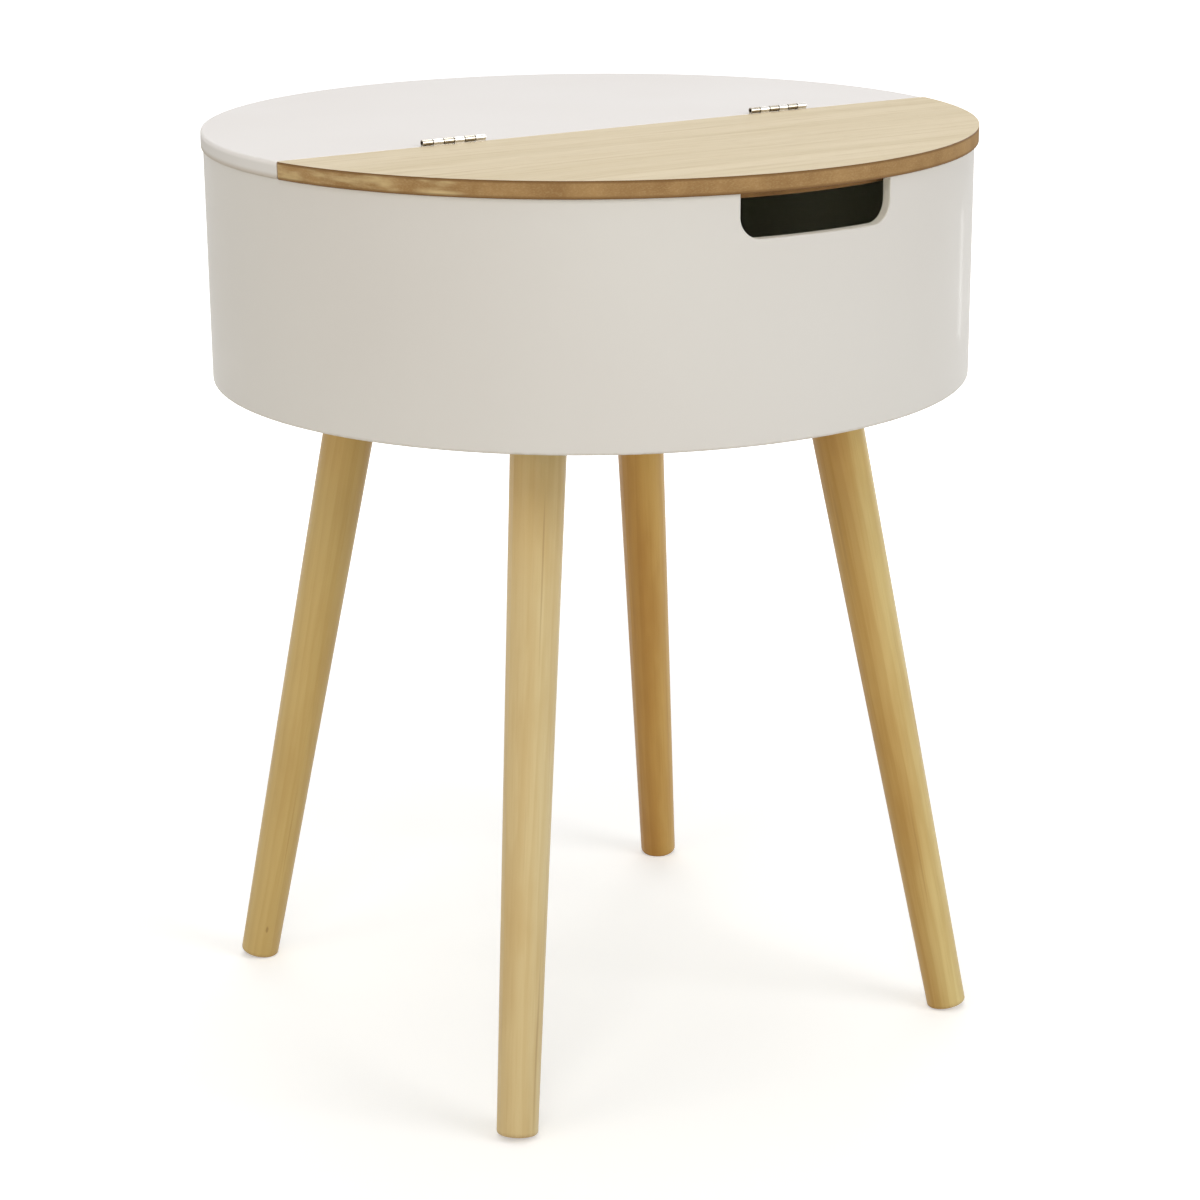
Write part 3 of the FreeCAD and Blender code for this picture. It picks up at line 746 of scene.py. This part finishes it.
@dataclass(frozen=True)
class WoodScrew:
    """Wood screw with a cross recess, its seat at the origin and its point along +Z."""

    head: Head
    head_radius: float
    head_height: float
    radius: float
    length: float
    tip: float
    pitch: float
    root: float = 0.76
    arm: float = 0.56
    arm_half: float = 0.17
    flank: float = 0.56
    recess_floor: float = 0.45
    recess_depth: float = 0.62
    sunk_face: float = 0.96
    sunk_rim: float = 0.05
    pan_bend: float = 0.45
    blunt: float = 0.25
    spin: float = 2.4
    sharp: float = math.radians(40)
    rings_per_turn: int = 5

    def angles(self) -> list[float]:
        """Angles round the screw, the corners of the cross among them.

        Returns:
            Angles in radians, rising.
        """
        corner = math.atan2(self.arm_half, self.arm)
        quarter = (-math.pi / 4, -self.flank, -corner, -corner / 2, 0.0, corner / 2, corner, self.flank)
        return [math.pi / 2 * turn + part for turn in range(4) for part in quarter]

    def cross(self, angle: float) -> float:
        """Distance from the middle to the recess's edge at an angle."""
        off = abs((angle + math.pi / 4) % (math.pi / 2) - math.pi / 4)
        return self.head_radius * min(self.arm / math.cos(off), self.arm_half / max(math.sin(off), 1e-6))

    def head_rings(self) -> list[tuple[float, float]]:
        """Radius and depth of the plain rings, from the face's rim to the shank.

        Returns:
            Pairs of radius and depth.
        """
        wide, high = self.head_radius, self.head_height
        if self.head is Head.SUNK:
            below = wide - self.sunk_rim * (wide - self.radius)
            return [(self.sunk_face * wide, 0.0), (below, self.sunk_rim * high), (self.radius, high)]
        bend = self.pan_bend * high
        rim = [(wide - bend + bend * math.sin(a), bend - high - bend * math.cos(a))
               for a in (math.pi / 8 * i for i in range(5))]
        return rim + [(wide, 0.0), (self.radius, 0.0)]

    def rings(self) -> list[list[Vector]]:
        """Rings of points from the bottom of the recess to the point.

        Returns:
            Rings, each with one point per angle.
        """
        angles = self.angles()
        plain = self.head_rings()
        face, start = plain[0][1], plain[-1][1]

        def ring(radii: list[float], depth: float) -> list[Vector]:
            """Points at one depth."""
            return [Vector((r * math.cos(a), r * math.sin(a), depth)) for r, a in zip(radii, angles)]

        mouth = [self.cross(a) for a in angles]
        sunk = [self.recess_floor * reach for reach in mouth]
        made = [ring(sunk, face + self.recess_depth * self.head_height), ring(mouth, face)]
        made += [ring([radius] * len(angles), depth) for radius, depth in plain]
        count = int((self.length - start) / self.pitch * self.rings_per_turn)
        for step in range(1, count + 1):
            depth = start + (self.length - start) * step / count
            taper = min(1.0, self.blunt + (1 - self.blunt) * (self.length - depth) / self.tip)
            ridges = [1 - abs(2 * ((depth / self.pitch - a / math.tau) % 1) - 1) for a in angles]
            radii = [self.radius * taper * (self.root + (1 - self.root) * ridge) for ridge in ridges]
            made.append(ring(radii, depth))
        return made

    def add(self, shape: bmesh.types.BMesh, place: Matrix) -> None:
        """Add one closed screw to a mesh.

        Args:
            shape: Mesh that takes it.
            place: Where it sits.
        """
        rings = [[shape.verts.new(place @ point) for point in ring] for ring in self.rings()]
        for first, second in zip(rings, rings[1:]):
            for i in range(len(first)):
                j = (i + 1) % len(first)
                shape.faces.new((first[i], first[j], second[j], second[i]))
        for ring in (rings[0], rings[-1]):
            middle = shape.verts.new(sum((v.co for v in ring), Vector()) / len(ring))
            for i, vert in enumerate(ring):
                shape.faces.new((vert, ring[(i + 1) % len(ring)], middle))

    def group(self, name: str, places: list[Matrix], material: bpy.types.Material, body: Body,
              slot: Slot, stands_for: str) -> None:
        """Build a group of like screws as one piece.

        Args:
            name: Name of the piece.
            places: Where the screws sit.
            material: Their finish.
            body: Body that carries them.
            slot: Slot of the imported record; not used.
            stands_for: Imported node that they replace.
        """
        shape = bmesh.new()
        for index, place in enumerate(places):
            self.add(shape, place @ Matrix.Rotation(self.spin * index, 4, "Z"))
        bmesh.ops.recalc_face_normals(shape, faces=shape.faces)
        mesh = bpy.data.meshes.new(name)
        shape.to_mesh(mesh)
        shape.free()
        mesh.materials.append(material)
        mesh.shade_smooth()
        mesh.set_sharp_from_angle(angle=self.sharp)
        made = bpy.data.objects.new(name, mesh)
        bpy.context.scene.collection.objects.link(made)
        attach(made, body.value)
        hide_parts(stands_for)
        LOG.info("built %s: %d screws", name, len(places))


@dataclass
class Drum:
    """Bent wall with its base, and the rail and blocks hidden in it."""

    stand: float = 0.3295
    wall_top: float = 0.442
    rail_y: float = -0.015
    rail_low: float = 0.42
    screw_pitch: float = 0.12
    screw: WoodScrew = WoodScrew(Head.SUNK, head_radius=0.0035, head_height=0.0024, radius=0.00175,
                                 length=0.0265, tip=0.0035, pitch=0.0016)

    def build(self) -> None:
        """Dress the wall, the base, the rail and the blocks, and drive the rail's screws."""
        # the wall's white is the top's lacquer set darker, painted shade of its upright faces; its cut
        # faces carry painted light
        wall = WallLacquer("wall_lacquer_painted_light_and_shade", srgb(215, 212, 206), srgb(212, 208, 202), srgb(190, 180, 164),
                           self.stand, self.wall_top, satin=0.42, matt=0.50, level=0.05, gloss=0.05)
        dress(wall.material(), "drum_wall")
        base = Lacquer("base_lacquer", srgb(219, 217, 196), srgb(211, 208, 187))
        dress(base.material(), "base_panel")
        dress(Softwood("rail_softwood").material(), "cross_rail")
        dress(Softwood("block_softwood", (60, 60, 420)).material(), "top_glue_blocks", "base_glue_blocks")
        places = [Matrix.Translation((i * self.screw_pitch, self.rail_y, self.rail_low))
                  for i in (-1, 0, 1)]
        self.screw.group("cross_screws_rail", places, dull_zinc("rail_zinc"), Body.TABLE, Slot.ZINC,
                         "cross_rail_screws")


@dataclass
class FixedTop:
    """White board over the rear of the drum."""

    low: float = 0.442

    def build(self) -> None:
        """Dress the board."""
        lacquer = TopLacquer("top_lacquer", srgb(238, 235, 233), srgb(235, 231, 228),
                             low_edge=self.low, matt=0.52, level=0.03)
        dress(lacquer.material(), "rear_top_panel")


@dataclass
class Lid:
    """Hinged half of the top: fibreboard core, veneer on both faces, locating strip."""

    core_low: float = 0.4426
    core_high: float = 0.4494
    scuff_from: float = -0.132
    scuff_to: float = -0.150

    def build(self) -> None:
        """Dress the lid's layers."""
        core = Fibreboard("lid_edge_fibreboard", faces=(self.core_low, self.core_high),
                          scuff_from=self.scuff_from, scuff_to=self.scuff_to)
        dress(core.material(), "lid_core")
        dress(Veneer("lid_face").material(), "lid_face_veneer")
        dress(Veneer("lid_back", seed=4.2, level_from=0.985, level_to=0.93).material(), "lid_back_veneer")
        strip = Fibreboard("strip_fibreboard", srgb(146, 110, 66), srgb(122, 88, 50), srgb(176, 142, 94))
        dress(strip.material(), "lid_locating_strip")


@dataclass
class Hinges:
    """Two small butt hinges with their pins and screws."""

    seam: float = -0.028
    leaf_gap: float = 0.0002
    level: float = 0.446
    screw_x: tuple[float, ...] = (-0.104, -0.082, 0.082, 0.104)
    screw: WoodScrew = WoodScrew(Head.SUNK, head_radius=0.0019, head_height=0.0008, radius=0.001,
                                 length=0.012, tip=0.002, pitch=0.0008)

    def build(self) -> None:
        """Dress leaves, pins and screws."""
        clean = HingeNickel("bright_nickel", srgb(228, 225, 219), srgb(186, 180, 170),
                            smooth=0.16, matt=0.26, under_shade=0.25)
        # the fixed leaves take a darker copy of the same nickel: painted shade and reflection of the lid
        dull = HingeNickel("shaded_nickel", srgb(206, 199, 184), srgb(160, 147, 126),
                           smooth=0.16, matt=0.26)
        # the pin's steel is set dark: partly painted shade of the recess at its ends
        steel = Metal("pin_steel_painted_shade", srgb(96, 86, 72), srgb(66, 58, 48), smooth=0.18, matt=0.26).material()
        bright, shaded_leaf = clean.material(), dull.material()
        for side in ("left", "right"):
            dress(shaded_leaf, f"{side}_hinge_fixed_leaf")
            dress(bright, f"{side}_hinge_lid_leaf")
            dress(steel, f"{side}_hinge_pin")
        for way, body, name in ((1, Body.TABLE, "fixed"), (-1, Body.LID, "lid")):
            places = [Matrix.Translation((x, self.seam + way * self.leaf_gap / 2, self.level))
                      @ Matrix.Rotation(-way * math.pi / 2, 4, "X") for x in self.screw_x]
            self.screw.group(f"cross_screws_hinge_{name}", places, bright, body, Slot.NICKEL,
                             f"hinge_screws_{name}")


@dataclass
class Legs:
    """Four turned legs with their plates, bolts and screws."""

    # per-leg colours: the rear legs' darker, deeper tones are partly painted shade under the drum
    looks: tuple[LegLook, ...] = (
        LegLook("right_rear", srgb(198, 161, 88), srgb(174, 129, 58), (0.86, 0.74, 0.58, 1), -1.0, 0.4),
        LegLook("left_rear", srgb(198, 170, 108), srgb(180, 147, 86), (0.92, 0.90, 0.83, 1), 1.0, 0.1),
        LegLook("left_front", srgb(208, 189, 141), srgb(190, 162, 106), (0.99, 0.93, 0.85, 1), -1.0, 0.0),
        LegLook("right_front", srgb(212, 192, 131), srgb(187, 157, 89), (0.76, 0.58, 0.37, 1), -1.0, 0.2),
    )
    level_right: Triple = (0.834, -0.552, 0.0)
    pitch: float = 0.1175
    level: float = 0.3295
    splay: float = math.radians(11.5)
    seat: float = 0.335
    plate_under: float = 0.339
    plate_thick: float = 0.0025
    screw_pitch: float = 0.042
    first_turn: float = 45
    first_seed: float = 1.3
    seed_step: float = 2.9
    screw: WoodScrew = WoodScrew(Head.PAN, head_radius=0.0038, head_height=0.0022, radius=0.002,
                                 length=0.0115, tip=0.002, pitch=0.0013)

    def turn_of(self, index: int) -> float:
        """Angle of one leg round the drum's axis."""
        return math.radians(self.first_turn + 90 * index)

    def own_frame(self, index: int) -> tuple[Vector, Matrix, float]:
        """Frame of one leg: origin at its top, Z down its axis.

        Args:
            index: Number of the leg.

        Returns:
            Origin, rotation and length.
        """
        out = Matrix.Rotation(self.turn_of(index), 3, "Z") @ Vector((1, 0, 0))
        down = out * math.sin(self.splay) - Vector((0, 0, math.cos(self.splay)))
        reach = self.pitch + (self.level - self.seat) * math.tan(self.splay)
        origin = out * reach + Vector((0, 0, self.seat))
        side = down.cross(out).normalized()
        turn = Matrix((side.cross(down), side, down)).transposed()
        return origin, turn, self.seat / math.cos(self.splay)

    def screw_places(self) -> list[Matrix]:
        """Seats of the screws, four to a plate.

        Returns:
            One matrix per screw.
        """
        plate_z = self.plate_under + self.plate_thick
        middle = self.pitch + (self.level - plate_z) * math.tan(self.splay)
        half = self.screw_pitch / 2
        return [Matrix.Rotation(self.turn_of(index), 4, "Z")
                @ Matrix.Translation((middle + way_x * half, way_y * half, self.plate_under))
                for index in range(4) for way_x in (-1, 1) for way_y in (-1, 1)]

    def build(self) -> None:
        """Dress legs and fittings."""
        zinc = dull_zinc("leg_zinc")
        for index, look in enumerate(self.looks):
            # the darker heartwood side is set along the camera's level right axis: partly painted shade
            way = Vector(self.level_right) * look.heart_and_shade_right
            wood = LegWood(look, *self.own_frame(index), self.first_seed + self.seed_step * index, way)
            dress(wood.material(), f"leg_{look.name}")
            dress(zinc, f"leg_plate_{look.name}", f"hanger_bolt_{look.name}")
        self.screw.group("cross_screws_plates", self.screw_places(), zinc, Body.TABLE, Slot.ZINC,
                         "leg_plate_screws")


@dataclass(frozen=True)
class Lamp:
    """One soft rectangular lamp."""

    name: str
    place: Triple
    aim: Triple
    width: float
    height: float
    watts: float
    colour: Triple = (1.0, 1.0, 1.0)

    def build(self) -> None:
        """Hang the lamp and aim it."""
        data = bpy.data.lights.new(self.name, "AREA")
        data.shape = "RECTANGLE"
        data.size, data.size_y, data.energy, data.color = self.width, self.height, self.watts, self.colour
        lamp = bpy.data.objects.new(self.name, data)
        lamp.location = self.place
        lamp.visible_camera = False
        lamp.rotation_euler = (Vector(self.aim) - Vector(self.place)).to_track_quat("-Z", "Y").to_euler()
        bpy.context.scene.collection.objects.link(lamp)


@dataclass
class Studio:
    """Pale floor, white surroundings, soft lamps and the camera."""

    place: Triple = (-0.80297, -1.22001, 0.64973)
    yaw: float = 0.5847
    pitch: float = 0.2939
    roll: float = 0.0071
    focal_px: float = 3011.3
    frame_px: float = 1200.0
    ambient: float = 0.30
    lamp_aim: Triple = (0.0, 0.0, 0.33)
    floor_radius: float = 7.0
    floor_sides: int = 96
    floor_drop: float = 0.0002
    lift_from: float = 0.35
    lift_to: float = 1.5
    least_lift: float = 0.36

    def level_axes(self) -> tuple[Vector, Vector]:
        """Level directions to the camera's right and towards the camera."""
        sine, cosine = math.sin(self.yaw), math.cos(self.yaw)
        return Vector((cosine, -sine, 0.0)), Vector((-sine, -cosine, 0.0))

    def camera(self) -> None:
        """Stand the camera where the photograph was taken from."""
        ahead = Vector((math.sin(self.yaw) * math.cos(self.pitch),
                        math.cos(self.yaw) * math.cos(self.pitch), -math.sin(self.pitch)))
        right = self.level_axes()[0]
        down = ahead.cross(right)
        x = right * math.cos(self.roll) + down * math.sin(self.roll)
        y = right * math.sin(self.roll) - down * math.cos(self.roll)
        data = bpy.data.cameras.new("camera")
        data.lens = data.sensor_width * self.focal_px / self.frame_px
        camera = bpy.data.objects.new("camera", data)
        turn = Matrix((x, y, -ahead)).transposed()
        camera.matrix_world = Matrix.Translation(self.place) @ turn.to_4x4()
        bpy.context.scene.collection.objects.link(camera)
        bpy.context.scene.camera = camera

    def floor(self) -> None:
        """Lay a wide pale floor that shows white to the camera and keeps the shadow."""
        mesh = bpy.data.meshes.new("floor")
        shape = bmesh.new()
        bmesh.ops.create_circle(shape, cap_ends=True, radius=self.floor_radius, segments=self.floor_sides)
        shape.to_mesh(mesh)
        shape.free()
        floor = bpy.data.objects.new("floor", mesh)
        floor.location.z = -self.floor_drop
        bpy.context.scene.collection.objects.link(floor)
        r = Recipe("pale_floor")
        here = r.place()
        tone = r.mix(r.noise(here, 3, 2), srgb(238, 238, 237), srgb(235, 235, 234))
        r.coat(tone, 0.9, r.bump(r.noise(here, 400, 1), 0.00002))
        path = r.node("ShaderNodeLightPath", {})
        seen = r.calc("MAXIMUM", path.outputs["Is Camera Ray"], path.outputs["Is Glossy Ray"])
        seen = r.calc("MAXIMUM", seen, path.outputs["Is Transmission Ray"])
        away = r.node("ShaderNodeVectorMath", {0: here}, operation="LENGTH").outputs["Value"]
        lift = r.span(away, self.lift_from, self.lift_to, self.least_lift, 1.0)
        glow = r.node("ShaderNodeEmission", {"Color": (1, 1, 1, 1),
                                             "Strength": r.calc("MULTIPLY", seen, lift)}).outputs[0]
        both = r.node("ShaderNodeAddShader", {0: r.shader.outputs[0], 1: glow}).outputs[0]
        r.tree.links.new(both, r.output.inputs["Surface"])
        mesh.materials.append(r.material)

    def surroundings(self) -> None:
        """White to the camera and in reflections, soft light otherwise."""
        world = bpy.data.worlds.new("studio")
        bpy.context.scene.world = world
        world.use_nodes = True
        tree = world.node_tree
        back = tree.nodes["Background"]
        path = tree.nodes.new("ShaderNodeLightPath")
        seen = path.outputs["Is Camera Ray"]
        for name in ("Is Glossy Ray", "Is Transmission Ray"):
            larger = tree.nodes.new("ShaderNodeMath")
            larger.operation = "MAXIMUM"
            tree.links.new(seen, larger.inputs[0])
            tree.links.new(path.outputs[name], larger.inputs[1])
            seen = larger.outputs[0]
        level = tree.nodes.new("ShaderNodeMapRange")
        level.inputs["To Min"].default_value = self.ambient
        level.inputs["To Max"].default_value = 1.0
        tree.links.new(seen, level.inputs["Value"])
        back.inputs["Color"].default_value = (1, 1, 1, 1)
        tree.links.new(level.outputs["Result"], back.inputs["Strength"])

    def lamps(self) -> None:
        """Hang the soft lamps."""
        right, near = self.level_axes()
        up = Vector((0, 0, 1))
        for name, place, width, height, watts, colour in (
            ("right_side", right * 2.0 + near * 1.1 + up * 1.25, 1.3, 1.3, 21.0, (1.0, 1.0, 1.0)),
            ("left_side", right * -1.75 + near * 1.35 + up * 0.9, 1.2, 1.2, 9.2, (1.0, 0.925, 0.80)),
            ("front_high", right * -0.25 + near * 1.9 + up * 1.85, 0.9, 0.9, 11.0, (1.0, 0.97, 0.92)),
            ("front_low", right * -0.05 + near * 2.3 + up * 0.82, 0.45, 0.45, 4.2, (1.0, 0.97, 0.92)),
            ("overhead", near * 0.1 + up * 2.3, 1.6, 1.6, 9.0, (1.0, 1.0, 1.0)),
            ("rear_high", near * -1.2 + up * 2.2, 1.2, 1.2, 11.0, (1.0, 1.0, 1.0)),
            ("glint", right * 0.58 - near * 0.565 + up * 0.245, 0.045, 0.09, 0.09, (1.0, 1.0, 1.0)),
        ):
            Lamp(name, tuple(place), self.lamp_aim, width, height, watts, colour).build()

    def build(self) -> None:
        """Set up everything that isn't the table."""
        bpy.context.scene.view_settings.view_transform = "Standard"
        self.camera()
        self.floor()
        self.surroundings()
        self.lamps()


def main() -> None:
    """Build the table's looks and the studio round it."""
    logging.basicConfig(level=logging.INFO, format="%(message)s")
    for part in (Drum(), FixedTop(), Lid(), Hinges(), Legs(), Studio()):
        part.build()
        LOG.info("built %s", type(part).__name__)


if __name__ == "__main__":
    main()
